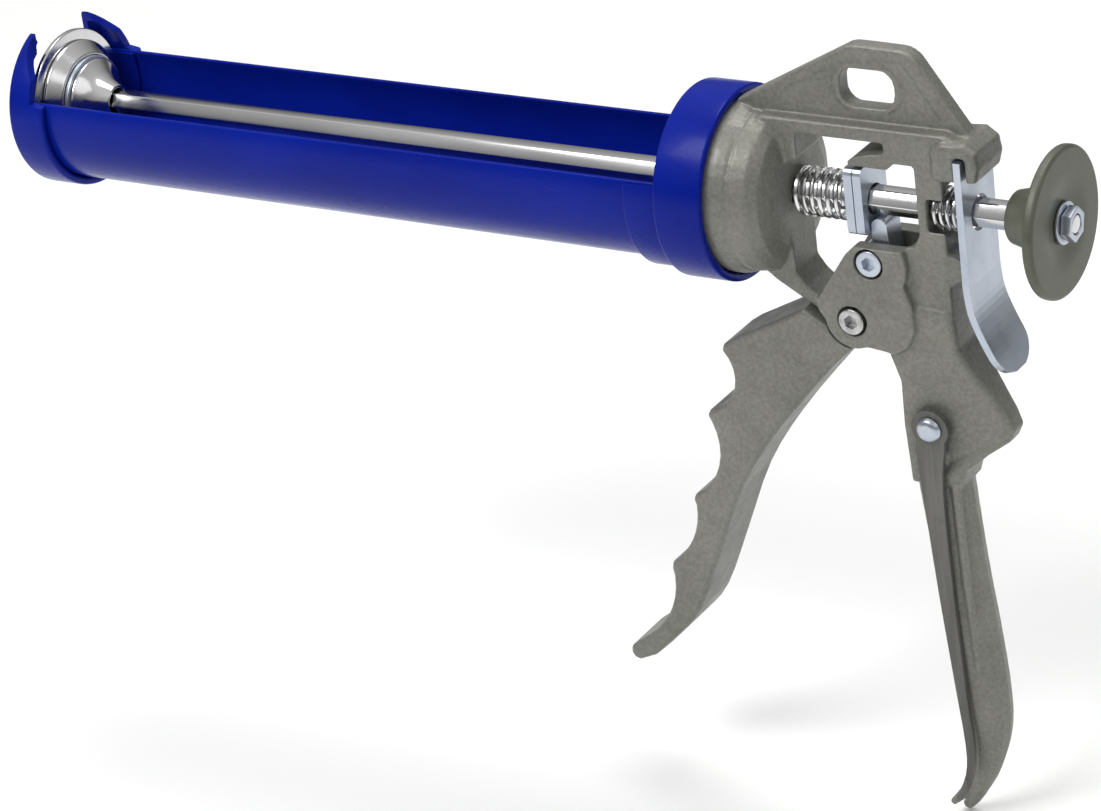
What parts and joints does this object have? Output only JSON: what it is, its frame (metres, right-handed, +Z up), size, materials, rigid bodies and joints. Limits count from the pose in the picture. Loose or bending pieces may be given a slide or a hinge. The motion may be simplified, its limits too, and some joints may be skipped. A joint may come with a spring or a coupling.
{
  "type": "caulking gun",
  "caption": "Half-tube cartridge gun with a rotating cradle, cast pistol grip, hexagonal push rod, trigger-driven gripping plates, thumb release, hang hole and folding seal piercer.",
  "frame": {"origin": "on the push rod's axis at the front face of the piston, with the rod fully forward", "axes": "+X along the rod from the muzzle towards the pull knob, +Z up, the handle pointing down"},
  "size_m": [0.3816, 0.062, 0.2651],
  "materials": {
    "enamel": "gloss",
    "casting": "satin",
    "zinc": "satin",
    "grey_steel": "satin",
    "steel": "bright",
    "black_screw": "satin",
    "knob": "satin"
  },
  "bodies": {
    "frame": {"frame_casting": "casting", "trigger_pivot_screw": "black_screw", "cam_pivot_screw": "zinc", "piercer_rivet": "zinc", "barrel_snap_ring": "steel"},
    "barrel": {"cradle_tube": "enamel", "barrel_collar": "enamel", "front_cap": "enamel"},
    "rod": {"push_rod": "steel", "piston_plate": "steel", "piston_cup": "steel", "piston_washer": "zinc", "piston_hub": "steel", "knob": "knob", "knob_washer": "zinc", "knob_nut": "zinc"},
    "trigger": {"trigger": "casting"},
    "cam": {"drive_cam": "zinc"},
    "drive": {"drive_plate_front": "zinc", "drive_plate_rear": "zinc", "drive_spring": "steel"},
    "lever": {"release_lever": "zinc", "release_spring": "steel"},
    "piercer": {"seal_piercer": "grey_steel"}
  },
  "joints": [
    {"name": "barrel_rotation", "type": "hinge", "parent": "frame", "child": "barrel", "pos_m": [0.257, 0, 0], "axis": [1, 0, 0], "continuous": true},
    {"name": "rod_slide", "type": "slide", "parent": "frame", "child": "rod", "axis": [1, 0, 0], "range_m": [0, 0.252]},
    {"name": "trigger_swing", "type": "hinge", "parent": "frame", "child": "trigger", "pos_m": [0.3032, 0, -0.0375], "axis": [0, -1, 0], "range_deg": [0, 36], "stiffness_Nm_per_rad": 0.5, "springref_deg": -28.65},
    {"name": "cam_swing", "type": "hinge", "parent": "frame", "child": "cam", "pos_m": [0.3106, 0, -0.0175], "axis": [0, -1, 0], "range_deg": [0, 32.6]},
    {"name": "drive_slide", "type": "slide", "parent": "frame", "child": "drive", "axis": [-1, 0, 0], "range_m": [0, 0.0059], "deforming": ["drive_spring"]},
    {"name": "release_lever_tilt", "type": "hinge", "parent": "frame", "child": "lever", "pos_m": [0.3436, 0, 0.017], "axis": [0, 1, 0], "range_deg": [0, 2.2], "stiffness_Nm_per_rad": 0.3, "springref_deg": -8.59, "deforming": ["release_spring"]},
    {"name": "piercer_swing", "type": "hinge", "parent": "frame", "child": "piercer", "pos_m": [0.327, 0, -0.0706], "axis": [0, -1, 0], "range_deg": [0, 90]}
  ],
  "couplings": [
    {"joint": "cam_swing", "follows": "trigger_swing", "ratio": 0.85},
    {"joint": "drive_slide", "follows": "trigger_swing", "m_per_rad": 0.00875}
  ]
}
